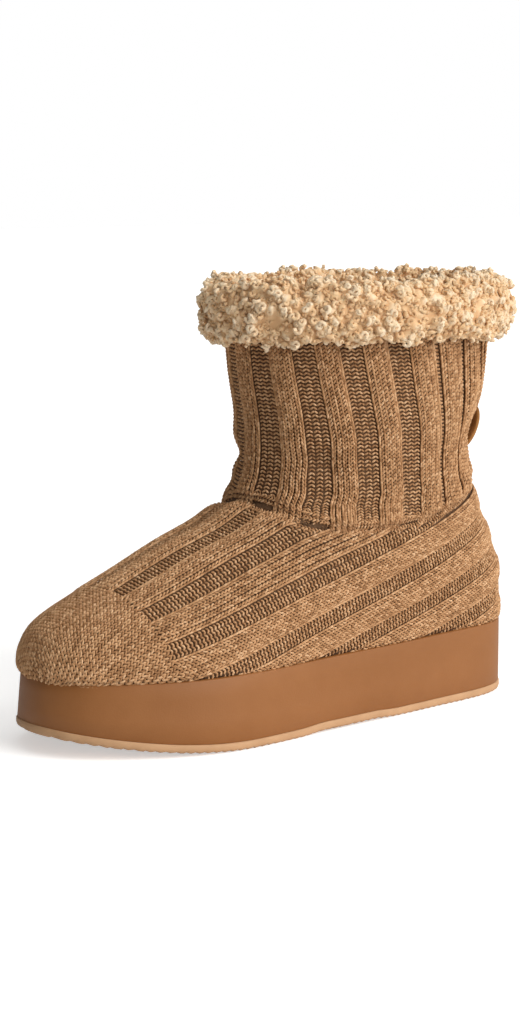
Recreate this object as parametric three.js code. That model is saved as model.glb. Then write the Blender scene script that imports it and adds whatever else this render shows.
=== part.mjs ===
// Knitted mukluk ankle boot on a platform sole, left shoe of a pair, standing empty.
// Millimetres, +Z up, toe toward -Y, little-toe side toward +X, floor at z = 0.
import * as THREE from "three";

// Sole: half widths from heel to toe, at 30, 60, 90, 120 and 150 degrees round the outline.
const SOLE_LENGTH = 269;
const OUTER_HALF = [27, 36.6, 44.6, 50.4, 30.3];
const INNER_HALF = [27, 37, 43, 50.6, 37.5];
const OUTSOLE_THICK = 4;
const TOE_SPRING = 9.6;
const SPRING_START = 0.68;
const WAIST_LIFT = 0.8;
const HEEL_BEVEL = 2.6;
const PLATFORM_HEEL = 35.3;
const PLATFORM_TOE = 33.4;
const TOE_DRAFT = 1.5;
const EDGE_ROUND = 1;

// Boot outline at heights above the floor: [height, front y, back y, half width].
const LEVELS = [
  [34, -134, 134, 44],
  [44, -133, 134.2, 49],
  [54, -127, 134, 48.5],
  [64, -110, 133, 47],
  [74, -88.5, 129, 45.5],
  [84, -65, 124, 44.5],
  [94, -37, 118, 43.5],
  [104, -18.5, 112.5, 43.5],
  [114, -14, 109.5, 44],
  [134, -13.5, 113, 45.5],
  [165, -20, 118, 48],
  [200, -23, 121, 49.5],
];
const FOOT_BLEND = 44;
const SEAM_HEIGHT = 99;
const SEAM_WAVE = 8;
const SEAM_BACK_RISE = 3;
const WALL = 2.8;
const GAP = 0.3;
const SHAFT_TOP = 195;
const INSOLE_THICK = 5;

// Collar cuff, a ring that hooks over the shaft: [distance outside the shaft face, height].
const COLLAR_SECTION = [
  [0.4, 178],
  [2.5, 174.6],
  [6.5, 174],
  [10.5, 177],
  [13.2, 183],
  [13.6, 189],
  [12, 197],
  [8, 203],
  [2.5, 205.6],
  [-3, 204.6],
  [-7, 200],
  [-8.5, 192],
  [-8.5, 172],
  [-3.4, 172],
  [-3.4, 195.8],
  [0.4, 195.8],
];

// Pull loop: a folded strap standing off the back of the shaft.
const LOOP_WIDTH = 13;
const LOOP_LOW = 118;
const LOOP_HIGH = 141;
const LOOP_REACH = 10.5;
const LOOP_THICK = 2.4;

const AROUND = 30;
const STATIONS = [];
for (let i = 0; i <= AROUND; i += 1) {
  STATIONS.push((Math.PI * i) / AROUND);
}

function cubic(a, b, c, d, u) {
  const p = 2 * b + (c - a) * u;
  const q = (2 * a - 5 * b + 4 * c - d) * u * u;
  return 0.5 * (p + q + (3 * b - a - 3 * c + d) * u * u * u);
}

// Half breadth of the sole at angle t, heel 0 to toe pi; zero at both ends.
function soleHalf(values, t) {
  const knots = [-values[0], 0, ...values, 0, -values[4]];
  const place = Math.min((t / Math.PI) * 6, 5.999);
  const i = Math.floor(place);
  return cubic(knots[i], knots[i + 1], knots[i + 2], knots[i + 3], place - i);
}

// Smooth curve through one column of the level table.
function level(column, z) {
  let i = 0;
  while (i < LEVELS.length - 2 && z > LEVELS[i + 1][0]) {
    i += 1;
  }
  const slope = (k) => {
    const lo = LEVELS[Math.max(k - 1, 0)];
    const hi = LEVELS[Math.min(k + 1, LEVELS.length - 1)];
    return (hi[column] - lo[column]) / (hi[0] - lo[0]);
  };
  const [a, b] = [LEVELS[i], LEVELS[i + 1]];
  const h = b[0] - a[0];
  const u = Math.min(Math.max((z - a[0]) / h, 0), 1);
  const rise = u * u * (3 - 2 * u);
  const near = u * (1 - u) * (1 - u) * h * slope(i);
  const far = u * u * (u - 1) * h * slope(i + 1);
  return a[column] + (b[column] - a[column]) * rise + near + far;
}

function smooth(u) {
  const v = Math.min(Math.max(u, 0), 1);
  return v * v * (3 - 2 * v);
}

// Point of the boot's outer face: angle t, height z, side +1 outer or -1 inner, grown by d.
function bootPoint(t, z, side, d = 0) {
  const front = level(1, z) - d;
  const back = level(2, z) + d;
  const width = level(3, z) + 0.85 * d;
  const shape = side > 0 ? OUTER_HALF : INNER_HALF;
  const blend = smooth((z - 34) / FOOT_BLEND);
  const foot = soleHalf(shape, t) * (0.985 + d / 45);
  const half = (1 - blend) * foot + blend * width * Math.sin(t) ** 0.95;
  const y = (front + back) / 2 + ((back - front) / 2) * Math.cos(t);
  return new THREE.Vector3(side * half, y, z);
}

// Fraction of the way from heel to toe at a fore-and-aft position.
function along(y) {
  return Math.min(Math.max(0.5 - y / SOLE_LENGTH, 0), 1);
}

function floorHeight(y) {
  const s = along(y);
  const spring = TOE_SPRING * Math.max((s - SPRING_START) / (1 - SPRING_START), 0) ** 2;
  const waist = WAIST_LIFT * smooth((s - 0.34) / 0.06) * smooth((0.58 - s) / 0.06);
  return spring + waist;
}

function platformTop(y) {
  return PLATFORM_HEEL + (PLATFORM_TOE - PLATFORM_HEEL) * along(y);
}

function seamHeight(t) {
  return SEAM_HEIGHT + SEAM_WAVE * Math.cos(2 * t) + SEAM_BACK_RISE * Math.cos(t);
}

// One closed ring of points: heel, outer side, toe, inner side.
function ring(place) {
  const points = [];
  for (const t of STATIONS) {
    points.push(place(t, 1));
  }
  for (let i = AROUND - 1; i > 0; i -= 1) {
    points.push(place(STATIONS[i], -1));
  }
  return points;
}

function solePoint(t, side, inset, height) {
  const half = soleHalf(side > 0 ? OUTER_HALF : INNER_HALF, t);
  const shrink = 1 - inset / 45;
  const y = (SOLE_LENGTH / 2 - inset) * Math.cos(t);
  return new THREE.Vector3(side * half * shrink, y, height(y));
}

function meshFrom(name, color, points, faces) {
  const geometry = new THREE.BufferGeometry();
  const flat = points.flatMap((p) => [p.x, p.y, p.z]);
  geometry.setAttribute("position", new THREE.Float32BufferAttribute(flat, 3));
  geometry.setIndex(faces.flat());
  geometry.computeVertexNormals();
  const mesh = new THREE.Mesh(geometry, new THREE.MeshStandardMaterial({ color }));
  mesh.name = name;
  return mesh;
}

// Side walls between stacked rings; the rings run bottom to top for an outer face.
function skin(rings, faces, closed) {
  const n = rings[0].length;
  const last = closed ? rings.length : rings.length - 1;
  for (let r = 0; r < last; r += 1) {
    const a = r * n;
    const b = ((r + 1) % rings.length) * n;
    for (let i = 0; i < n; i += 1) {
      const j = (i + 1) % n;
      faces.push([a + i, b + j, a + j]);
      faces.push([a + i, b + i, b + j]);
    }
  }
}

// Cap across a ring, joining the two sides station by station.
function cap(start, up, faces) {
  const n = 2 * AROUND;
  const add = (a, b, c) => faces.push(up ? [start + a, start + b, start + c] : [start + a, start + c, start + b]);
  for (let i = 0; i < AROUND; i += 1) {
    const left = (n - i) % n;
    const next = n - i - 1;
    if (i > 0) {
      add(i, left, i + 1);
    }
    if (i < AROUND - 1) {
      add(left, next, i + 1);
    }
  }
}

function slab(name, color, rings) {
  const faces = [];
  skin(rings, faces, false);
  cap(0, false, faces);
  cap((rings.length - 1) * rings[0].length, true, faces);
  return meshFrom(name, color, rings.flat(), faces);
}

// Tube with a real wall: rings up the outside, then down the inside, joined at both rims.
function tube(name, color, outside, wall) {
  const rows = outside.length;
  const n = outside[0].length;
  const inside = outside.map((row, r) => row.map((p, i) => {
    const round = row[(i + 1) % n].clone().sub(row[(i + n - 1) % n]);
    const up = outside[Math.min(r + 1, rows - 1)][i].clone().sub(outside[Math.max(r - 1, 0)][i]);
    const normal = up.cross(round);
    if (r === 0 || r === rows - 1) {
      normal.z = 0;
    }
    return p.clone().addScaledVector(normal.normalize(), -wall);
  }));
  const rings = [...outside, ...inside.reverse()];
  const faces = [];
  skin(rings, faces, true);
  return meshFrom(name, color, rings.flat(), faces);
}

const outsole = slab("outsole", 0xc99a6c, [
  ring((t, side) => solePoint(t, side, 1.2, (y) => {
    const bevel = HEEL_BEVEL * Math.max(1 - along(y) / 0.04, 0);
    return floorHeight(y) + bevel;
  })),
  ring((t, side) => solePoint(t, side, 0, (y) => floorHeight(y) + OUTSOLE_THICK - 0.9)),
  ring((t, side) => solePoint(t, side, 0, (y) => floorHeight(y) + OUTSOLE_THICK)),
]);

const midsole = slab("midsole", 0xa9763f, [
  ring((t, side) => solePoint(t, side, 0.4, (y) => floorHeight(y) + OUTSOLE_THICK + 0.1)),
  ring((t, side) => solePoint(t, side, 0.4 + TOE_DRAFT * (t / Math.PI) ** 2, (y) => platformTop(y) - EDGE_ROUND)),
  ring((t, side) => solePoint(t, side, 0.9 + TOE_DRAFT * (t / Math.PI) ** 2, platformTop)),
]);

const insole = slab("insole", 0xd8c4a2, [0, 1, INSOLE_THICK - 1, INSOLE_THICK].map((rise, i) => {
  const inset = i === 0 || i === 3 ? 6 : 5;
  return ring((t, side) => solePoint(t, side, inset, (y) => platformTop(y) + 0.1 + rise));
}));

// Foot of the knit upper, from the platform up to the ankle seam.
const FOOT_ROWS = 15;
const footRings = [];
for (let r = 0; r <= FOOT_ROWS; r += 1) {
  footRings.push(ring((t, side) => {
    const low = bootPoint(t, 35, side);
    const base = platformTop(low.y) + 0.2;
    const u = r / FOOT_ROWS;
    return bootPoint(t, base + (seamHeight(t) - GAP - base) * u ** 1.15, side);
  }));
}
const upper = tube("upper", 0xb0845c, footRings, WALL);

// Ribbed knit shaft, from the ankle seam up into the collar.
const SHAFT_ROWS = 8;
const shaftRings = [];
for (let r = 0; r <= SHAFT_ROWS; r += 1) {
  const u = r / SHAFT_ROWS;
  shaftRings.push(ring((t, side) => {
    const base = seamHeight(t);
    return bootPoint(t, base + (SHAFT_TOP - base) * u, side);
  }));
}
const shaft = tube("shaft", 0xa87d56, shaftRings, WALL);

// Shearling collar, folded over the top edge of the shaft.
const collarRings = COLLAR_SECTION.map(([d, z]) => ring((t, side) => bootPoint(t, z, side, d)));
const collarFaces = [];
skin(collarRings, collarFaces, true);
const collar = meshFrom("collar", 0xe1c39b, collarRings.flat(), collarFaces);

// Pull loop, its two ends lying flat on the back of the shaft.
const LOOP_STEPS = 12;
const loopOuter = [];
const loopInner = [];
const middle = (LOOP_LOW + LOOP_HIGH) / 2;
const reach = (LOOP_HIGH - LOOP_LOW) / 2;
for (let i = 0; i <= LOOP_STEPS; i += 1) {
  const a = -Math.PI / 2 + (Math.PI * i) / LOOP_STEPS;
  const z = middle + reach * Math.sin(a);
  const zIn = middle + (reach - LOOP_THICK) * Math.sin(a);
  const face = bootPoint(0, z, 1).y + 2 * GAP;
  const faceIn = bootPoint(0, zIn, 1).y + 2 * GAP;
  loopOuter.push([face + LOOP_REACH * Math.cos(a), z]);
  loopInner.push([faceIn + (LOOP_REACH - LOOP_THICK) * Math.cos(a), zIn]);
}
const section = [...loopOuter, ...loopInner.reverse()];
const loopPoints = [];
for (const x of [-LOOP_WIDTH / 2, LOOP_WIDTH / 2]) {
  for (const [y, z] of section) {
    loopPoints.push(new THREE.Vector3(x, y, z));
  }
}
const loopFaces = [];
const count = section.length;
for (let i = 0; i < count; i += 1) {
  const j = (i + 1) % count;
  loopFaces.push([i, j, count + j]);
  loopFaces.push([i, count + j, count + i]);
}
for (let i = 0; i < LOOP_STEPS; i += 1) {
  const [a, b, c, d] = [i, i + 1, count - 2 - i, count - 1 - i];
  loopFaces.push([a, c, b], [a, d, c]);
  loopFaces.push([count + a, count + b, count + c], [count + a, count + c, count + d]);
}
const pullLoop = meshFrom("pull_loop", 0xb98a58, loopPoints, loopFaces);

const boot = new THREE.Group();
boot.name = "mukluk_boot";
boot.add(outsole, midsole, insole, upper, shaft, collar, pullLoop);
export default boot;
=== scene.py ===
# Knitted mukluk ankle boot: platform sole, wide-rib knit foot and shaft, curly shearling collar.
import math

import bpy
import numpy as np
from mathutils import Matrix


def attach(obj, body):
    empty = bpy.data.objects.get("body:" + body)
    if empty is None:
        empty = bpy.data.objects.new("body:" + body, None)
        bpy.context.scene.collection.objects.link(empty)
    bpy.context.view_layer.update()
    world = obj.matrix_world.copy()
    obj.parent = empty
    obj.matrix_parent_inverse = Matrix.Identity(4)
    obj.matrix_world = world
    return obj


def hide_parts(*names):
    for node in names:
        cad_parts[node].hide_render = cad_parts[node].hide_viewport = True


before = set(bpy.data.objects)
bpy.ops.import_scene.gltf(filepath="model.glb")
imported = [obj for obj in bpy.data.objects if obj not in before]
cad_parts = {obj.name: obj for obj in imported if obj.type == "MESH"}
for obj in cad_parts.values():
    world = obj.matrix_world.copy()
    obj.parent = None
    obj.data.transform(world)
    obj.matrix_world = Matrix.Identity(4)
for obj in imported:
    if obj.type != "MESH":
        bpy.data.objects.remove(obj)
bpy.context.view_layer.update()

# ------------------------------
# Outsole: a thin sheet of moulded rubber under the platform, paler than it, curving up at the
# toe. It is moulded with narrow grooves across the tread and glued to the platform's foot.
# All shapes are worked out in millimetres and made into metres in as_object.
SOLE_LENGTH = 269.0
OUTER_HALF = (27, 36.6, 44.6, 50.4, 30.3)
INNER_HALF = (27, 37, 43, 50.6, 37.5)
OUTSOLE_THICK = 4.0
TOE_SPRING = 9.6
HEEL_BEVEL = 2.6
GROOVE_PITCH = 4.2
GROOVE_WIDE = 1.4
GROOVE_DEEP = 0.7


def linear(hex_colour):
    """sRGB hex to the linear values that a shader takes."""
    parts = [int(hex_colour[i:i + 2], 16) / 255 for i in (1, 3, 5)]
    return (*[p / 12.92 if p <= 0.04045 else ((p + 0.055) / 1.055) ** 2.4 for p in parts], 1.0)


def add(tree, kind, inputs=None, **settings):
    """Adds a node by its short name; a node given as an input means its first output."""
    prefixes = ("ShaderNode", "GeometryNode", "FunctionNode", "")
    node = tree.nodes.new(next(p + kind for p in prefixes if hasattr(bpy.types, p + kind)))
    for key, value in settings.items():
        setattr(node, key, value)
    for key, value in (inputs or {}).items():
        if isinstance(value, bpy.types.Node):
            value = value.outputs[0]
        if isinstance(value, bpy.types.NodeSocket):
            tree.links.new(value, node.inputs[key])
        else:
            node.inputs[key].default_value = value
    return node


def new_material(name):
    """A material, its emptied tree, and each place on the object in metres."""
    material = bpy.data.materials.new(name)
    material.use_nodes = True
    tree = material.node_tree
    tree.nodes.clear()
    return material, tree, add(tree, "TexCoord").outputs["Object"]


def ramp(tree, factor, stops):
    """Colours picked by a 0 to 1 value; stops are (place, hex)."""
    node = add(tree, "ValToRGB", {"Fac": factor})
    band = node.color_ramp
    while len(band.elements) < len(stops):
        band.elements.new(0.5)
    for element, (place, colour) in zip(band.elements, stops):
        element.position = place
        element.color = linear(colour)
    return node


def in_scene(name, data):
    thing = bpy.data.objects.new(name, data)
    bpy.context.collection.objects.link(thing)
    return thing


def as_object(name, points, faces, material):
    """A mesh object at the origin from points in millimetres."""
    mesh = bpy.data.meshes.new(name)
    mesh.from_pydata((np.asarray(points, float) * 0.001).tolist(), [], [list(f) for f in faces])
    mesh.polygons.foreach_set("use_smooth", [True] * len(mesh.polygons))
    mesh.materials.append(material)
    mesh.update()
    return in_scene(name, mesh)


def smooth_step(u):
    v = np.clip(u, 0, 1)
    return v * v * (3 - 2 * v)


def sole_half(side, t):
    """Half breadth of the sole at angle t, heel 0 to toe pi, on the outer (+1) or inner side."""
    t = np.asarray(t, float)
    knots = [np.array([-v[0], 0, *v, 0, -v[4]], float) for v in (OUTER_HALF, INNER_HALF)]
    place = np.clip(t / math.pi * 6, 0, 5.999)
    i = place.astype(int)
    u = place - i

    def spline(k):
        a, b, c, d = k[i], k[i + 1], k[i + 2], k[i + 3]
        return 0.5 * (2 * b + (c - a) * u + (2 * a - 5 * b + 4 * c - d) * u * u
                      + (3 * b - a - 3 * c + d) * u ** 3)

    return np.where(np.asarray(side) > 0, spline(knots[0]), spline(knots[1]))


def along(y):
    return np.clip(0.5 - np.asarray(y) / SOLE_LENGTH, 0, 1)


def floor_height(y):
    s = along(y)
    waist = 0.8 * smooth_step((s - 0.34) / 0.06) * smooth_step((0.58 - s) / 0.06)
    return TOE_SPRING * np.clip((s - 0.68) / 0.32, 0, None) ** 2 + waist


def sole_ring(stations, inset, height):
    """Closed ring of the sole's outline, heel, outer side, toe, inner side."""
    t = np.concatenate([stations, stations[-2:0:-1]])
    side = np.concatenate([np.ones(len(stations)), -np.ones(len(stations) - 2)])
    y = (SOLE_LENGTH / 2 - inset) * np.cos(t)
    return np.stack([side * sole_half(side, t) * (1 - inset / 45), y, height(y)], -1)


def stack_faces(rows, around, closed=False):
    """Quads between stacked rings, and from the last ring back to the first if closed."""
    faces = []
    for r in range(rows if closed else rows - 1):
        low, high = r * around, (r + 1) % rows * around
        for i in range(around):
            j = (i + 1) % around
            faces.append((low + j, low + i, high + i, high + j))
    return faces


def cap_faces(start, half, up):
    """Strips across a ring that has the same stations down both sides."""
    n = 2 * half
    faces = []
    for i in range(half):
        corners = [start + k for k in (i, i + 1, n - i - 1, (n - i) % n)]
        corners = list(dict.fromkeys(corners))
        faces.append(corners[::-1] if up else corners)
    return faces


def slab(name, rings, material):
    around = len(rings[0])
    faces = stack_faces(len(rings), around)
    faces += cap_faces(0, around // 2, False)
    faces += cap_faces((len(rings) - 1) * around, around // 2, True)
    return as_object(name, np.concatenate(rings), faces, material)


# Moulded rubber, matt from the mould: soft mottling a few millimetres across and a fine grain.
rubber, tree, where = new_material("moulded_rubber_matt")
mottle = add(tree, "TexNoise", {"Vector": where, "Scale": 90.0, "Detail": 4.0})
grain = add(tree, "TexNoise", {"Vector": where, "Scale": 1600.0})
bump = add(tree, "Bump", {"Height": grain, "Strength": 0.25, "Distance": 0.0002})
add(tree, "OutputMaterial", {"Surface": add(tree, "BsdfPrincipled", {
    "Base Color": ramp(tree, mottle, [(0.3, "#B98F68"), (0.7, "#C69C74")]),
    "Normal": bump, "Roughness": 0.62, "IOR": 1.5, "Specular IOR Level": 0.35})})


def tread_height(y, depth=GROOVE_DEEP):
    """Underside of the outsole, with its grooves and the bevel at the back of the heel."""
    groove = np.abs((np.asarray(y) + 200) % GROOVE_PITCH - GROOVE_PITCH / 2) < GROOVE_WIDE / 2
    bevel = HEEL_BEVEL * np.clip(1 - along(y) / 0.04, 0, None)
    return floor_height(y) + bevel + depth * groove


def edge_height(lift, low, high):
    """The rolled edge of the tread, where the grooves have nearly run out."""
    return lambda y: floor_height(y) + np.clip(tread_height(y, 0.15) - floor_height(y) + lift, low, high)


# Stations down the sole, with one at the top and one at the foot of every groove wall.
grooves = np.arange(-31, 32) * GROOVE_PITCH + GROOVE_PITCH / 2 - 200 % GROOVE_PITCH
edges = np.concatenate([grooves + k for k in (-0.8, -0.7, 0.7, 0.8)])
edges = edges[np.abs(edges) < 130]
fine_stations = np.concatenate([np.linspace(0, math.pi, 91), np.arccos(edges / (SOLE_LENGTH / 2))])
fine_stations = np.unique(fine_stations)
fine_stations = fine_stations[np.concatenate([[True], np.diff(fine_stations) > 1e-4])]
outsole = slab("outsole_rubber", [
    sole_ring(fine_stations, 1.3, tread_height),
    sole_ring(fine_stations, 0.35, edge_height(0.6, 0.0, 2.9)),
    sole_ring(fine_stations, 0.0, edge_height(0.9, 1.6, 3.0)),
    sole_ring(fine_stations, 0.0, lambda y: floor_height(y) + 3.6),
    sole_ring(fine_stations, 0.35, lambda y: floor_height(y) + OUTSOLE_THICK),
], rubber)
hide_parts("outsole")
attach(outsole, "root")

# ------------------------------
# Midsole: the platform, one block of closed-cell foam moulded in a smooth skin, a shade darker
# than the outsole. The upper is glued down onto its flat top, a little inside the edge.
PLATFORM_HEEL = 35.3
PLATFORM_TOE = 33.4
TOE_DRAFT = 1.5


def platform_top(y):
    return PLATFORM_HEEL + (PLATFORM_TOE - PLATFORM_HEEL) * along(y)


# Moulded foam with a satin skin: nearly even colour, faint cloudiness and a very fine pebble.
foam, tree, where = new_material("moulded_foam_skin")
cloud = add(tree, "TexNoise", {"Vector": where, "Scale": 35.0, "Detail": 6.0, "Roughness": 0.6})
pebble = add(tree, "TexVoronoi", {"Vector": where, "Scale": 1300.0})
rub = add(tree, "TexNoise", {"Vector": where, "Scale": 240.0, "Detail": 3.0})
both = add(tree, "Math", {0: rub, 1: 0.6, 2: pebble}, operation="MULTIPLY_ADD")
bump = add(tree, "Bump", {"Height": both, "Strength": 0.18, "Distance": 0.0002})
add(tree, "OutputMaterial", {"Surface": add(tree, "BsdfPrincipled", {
    "Base Color": ramp(tree, cloud, [(0.3, "#8E592A"), (0.7, "#966031")]),
    "Normal": bump, "Roughness": 0.55, "IOR": 1.48, "Specular IOR Level": 0.4})})

even_stations = np.linspace(0, math.pi, 97)
rows = []
for inset, place in ((0.75, 0.0), (0.45, 0.012), (0.42, 0.35), (0.42, 0.7), (0.45, 0.972),
                     (0.7, 0.992), (1.3, 1.0)):
    def height(y, place=place):
        low = floor_height(y) + OUTSOLE_THICK
        return low + (platform_top(y) - low) * place
    ring = sole_ring(even_stations, inset, height)
    draft = TOE_DRAFT * place * along(ring[:, 1]) ** 2
    ring[:, :2] *= (1 - draft / 90)[:, None]
    rows.append(ring)
midsole = slab("midsole_platform", rows, foam)
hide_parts("midsole")
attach(midsole, "root")

# ------------------------------
# Insole and lining: short-pile fleece, cut and sewn inside the knit and glued over the platform
# as a soft footbed. It shows only through the collar.
LEVELS = np.array([
    (34, -134, 134, 44), (44, -133, 134.2, 49), (54, -127, 134, 48.5), (64, -110, 133, 47),
    (74, -88.5, 129, 45.5), (84, -65, 124, 44.5), (94, -37, 118, 43.5), (104, -18.5, 112.5, 43.5),
    (114, -13.5, 109.5, 44), (134, -12, 113, 45.5), (165, -16.8, 118, 47.6), (200, -19.3, 120.5, 49)], float)


def level(column, z):
    """Front, back or half width of the boot at a height, as a smooth curve through the table."""
    z = np.asarray(z, float)
    last = len(LEVELS) - 1
    i = np.clip(np.searchsorted(LEVELS[:, 0], z) - 1, 0, last - 1)

    def slope(k):
        lo, hi = LEVELS[np.clip(k - 1, 0, last)], LEVELS[np.clip(k + 1, 0, last)]
        return (hi[..., column] - lo[..., column]) / (hi[..., 0] - lo[..., 0])

    a, b = LEVELS[i], LEVELS[i + 1]
    h = b[..., 0] - a[..., 0]
    u = np.clip((z - a[..., 0]) / h, 0, 1)
    return (a[..., column] + (b[..., column] - a[..., column]) * u * u * (3 - 2 * u)
            + u * (1 - u) ** 2 * h * slope(i) + u * u * (u - 1) * h * slope(i + 1))


def breadth(side, t, z):
    """Half breadth of the boot at angle t round it and height z."""
    mix = smooth_step((z - 34) / 44)
    return (1 - mix) * sole_half(side, t) * 0.985 + mix * level(3, z) * np.sin(t) ** 0.95


def plain_face(theta, z, out=0.0):
    """Outer face of the boot; theta runs from the heel, positive on the outer side.

    Out is a distance outside it, a little less at the sides."""
    turned = (theta + math.pi) % (2 * math.pi) - math.pi
    side = np.where(turned >= 0, 1.0, -1.0)
    t = np.abs(turned)
    front, back = level(1, z), level(2, z)
    y = (front + back) / 2 + ((back - front) / 2 + out) * np.cos(t)
    return np.stack([side * (breadth(side, t, z) + 0.85 * out * np.sin(t)), y, z + 0 * t], -1)


def face_normal(theta, z):
    round_it = plain_face(theta + 0.02, z) - plain_face(theta - 0.02, z)
    up = plain_face(theta, z + 0.6) - plain_face(theta, z - 0.6)
    out = np.cross(up, round_it)
    return out / np.linalg.norm(out, axis=-1, keepdims=True)


SEAM_DEEP = 2.2
SEAM_WIDE = 1.9
SEAM_PUFF = 1.0
SOLE_CREASE_DEEP = 0.9
SOLE_CREASE_WIDE = 1.5


def seam_height(theta):
    return 99 + 8 * np.cos(2 * theta) + 3 * np.cos(theta)


# Slack folds: angle from the heel, height, half width as an angle, half height, and how far out.
SLACK_FOLDS = (
    (2.45, 122, 0.26, 4.5, -3.2), (2.45, 132, 0.4, 6.5, 1.3), (2.35, 113, 0.4, 5, 1.0),
    (1.75, 126, 0.2, 6, -0.7), (0.78, 168, 0.09, 12, -2.2), (0.95, 160, 0.10, 20, 0.9),
    (1.6, 138, 0.5, 12, 0.5), (1.15, 122, 0.3, 7, -0.6), (0.5, 129, 0.45, 11, -3.9))


def fold(theta, z):
    """Soft troughs and ridges: the slack of the empty shaft, the ankle seam and the sole's edge."""
    turned = np.abs((theta + math.pi) % (2 * math.pi) - math.pi)
    above = z - seam_height(theta)
    slack = sum(much * np.exp(-((turned - at) / wide) ** 2 - ((z - height) / tall) ** 2)
                for at, height, wide, tall, much in SLACK_FOLDS)
    return (slack - SEAM_DEEP * np.exp(-(above / SEAM_WIDE) ** 2)
            + SEAM_PUFF * np.exp(-((above - 5) / 3.2) ** 2)
            + 0.5 * SEAM_PUFF * np.exp(-((above + 5) / 3) ** 2)
            - SOLE_CREASE_DEEP * np.exp(-((z - platform_top(134 * np.cos(theta))) / SOLE_CREASE_WIDE) ** 2))


def boot_face(theta, z, out):
    """The outer face moved outwards, with the folds."""
    return plain_face(theta, z) + face_normal(theta, z) * (np.asarray(out) + fold(theta, z))[..., None]


def shell(name, heights, outs, material, around, lumps=0.0):
    """A closed skin between two distances from the outer face; each height is a function of theta."""
    theta = np.arange(around) / around * 2 * math.pi
    rng = np.random.default_rng(5)
    rings = []
    for out, rows_z in ((outs[0], heights), (outs[1], heights[::-1])):
        for z_of in rows_z:
            z = z_of(theta)
            wobble = lumps * rng.uniform(-1, 1, around) if out == outs[1] else 0
            rings.append(boot_face(theta, z, out + wobble + 0 * theta))
    return as_object(name, np.concatenate(rings), stack_faces(len(rings), around, True), material)


# Fleece: short wool pile, cream, softly lumped every few millimetres, with a fibre sheen.
fleece, tree, where = new_material("wool_fleece_pile")
clump = add(tree, "TexNoise", {"Vector": where, "Scale": 260.0, "Detail": 6.0, "Roughness": 0.7})
bump = add(tree, "Bump", {"Height": clump, "Strength": 1.0, "Distance": 0.0015})
add(tree, "OutputMaterial", {"Surface": add(tree, "BsdfPrincipled", {
    "Base Color": ramp(tree, clump, [(0.3, "#A98054"), (0.65, "#E2C29A")]),
    "Normal": bump, "Roughness": 0.95, "Sheen Weight": 0.3, "Sheen Roughness": 0.5})})

rows = []
for inset, rise in ((6.5, 0.1), (5.6, 0.8), (5.2, 3.0), (5.8, 4.6), (9.0, 5.4), (16.0, 5.7)):
    rows.append(sole_ring(even_stations, inset, lambda y, rise=rise: platform_top(y) + rise))
insole = slab("insole_fleece", rows, fleece)
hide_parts("insole")
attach(insole, "root")


def base_height(theta):
    return platform_top(plain_face(theta, 35 + 0 * theta)[..., 1])


lining_heights = [lambda th, u=u: (base_height(th) + 0.4) * (1 - u) + 176 * u for u in np.linspace(0, 1, 32)]
lining = shell("lining_fleece", lining_heights, (-3.6, -4.4), fleece, 96, 0.35)
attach(lining, "root")

# ------------------------------
# Knit foot: one panel of heavy rib in heathered wool yarn, five plain stitches then three purl.
# The ribs run from the toe, sweep up past the ankle and meet at the back of the heel. The toe is
# plain knit. Every stitch is a pair of yarn legs laid on its own place in the panel.
WALE = 2.45
COURSE = 2.0
RIB_REPEAT = 8
RIB_PLAIN = 5
RIB_SLOPE = math.radians(16.7)
RIB_AHEAD = np.array([math.cos(RIB_SLOPE), math.sin(RIB_SLOPE)])
RIB_ACROSS = np.array([-math.sin(RIB_SLOPE), math.cos(RIB_SLOPE)])
THIRD_FURROW = 49.0
THIRD_FURROW_AT = 70.9  # up the cut, where the knit is THIRD_FURROW from its first wale
TOE_CAP_AT = -73.0
KNIT_TUCKED = 0.9
TRACE_STEP = 0.5
RIB_RELIEF = np.array((-0.1, 0.35, 0.5, 0.35, -0.1, -0.95, -0.95, -0.95))


def angle_at(y, z):
    """Cosine of the angle round the boot for a place seen from the side; past 1 it is outside."""
    front, back = level(1, z), level(2, z)
    return (y - (front + back) / 2) / ((back - front) / 2)


def on_cut(tau, r):
    """Side-view place a height r up the cut across the ribs at tau; tau runs from toe to heel."""
    return RIB_AHEAD[0] * tau + RIB_ACROSS[0] * r, RIB_AHEAD[1] * tau + RIB_ACROSS[1] * r


def on_foot(tau, r):
    y, z = on_cut(tau, r)
    c = angle_at(y, z)
    t = np.arccos(np.clip(c, -1, 1))
    return (np.abs(c) <= 1) & (z >= platform_top(y) - KNIT_TUCKED) & (z <= seam_height(t))


def cut_across(tau):
    """One course: where a plane across the ribs meets the foot, from the sole up, or None."""
    r = np.linspace(-60, 130, 500)
    good = on_foot(tau, r)
    if good.sum() < 6:
        return None
    starts = np.flatnonzero(good & ~np.roll(good, 1))
    ends = np.flatnonzero(good & ~np.roll(good, -1))
    k = np.argmax(ends - starts)
    step = r[1] - r[0]
    edges = []
    for inside, outward in ((r[starts[k]], -step), (r[ends[k]], step)):
        outside = inside + outward
        for _ in range(14):
            middle = (inside + outside) / 2
            if on_foot(tau, np.array([middle]))[0]:
                inside = middle
            else:
                outside = middle
        edges.append(inside)
    lo, hi = edges
    r = lo + (hi - lo) * (1 - np.cos(np.linspace(0, math.pi, 161))) / 2
    y, z = on_cut(tau, r)
    c = np.clip(angle_at(y, z), -1, 1)
    t = np.arccos(c)
    arcs = {}
    for side in (1, -1):
        x = breadth(np.full_like(t, side), t, z)
        arcs[side] = np.concatenate([[0], np.cumsum(np.hypot(np.diff(x), np.diff(r)))])
    return {"r": r, "t": t, "z": z, "c": c, "arc": arcs, "ridge": c[-1] < -0.999}


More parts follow.
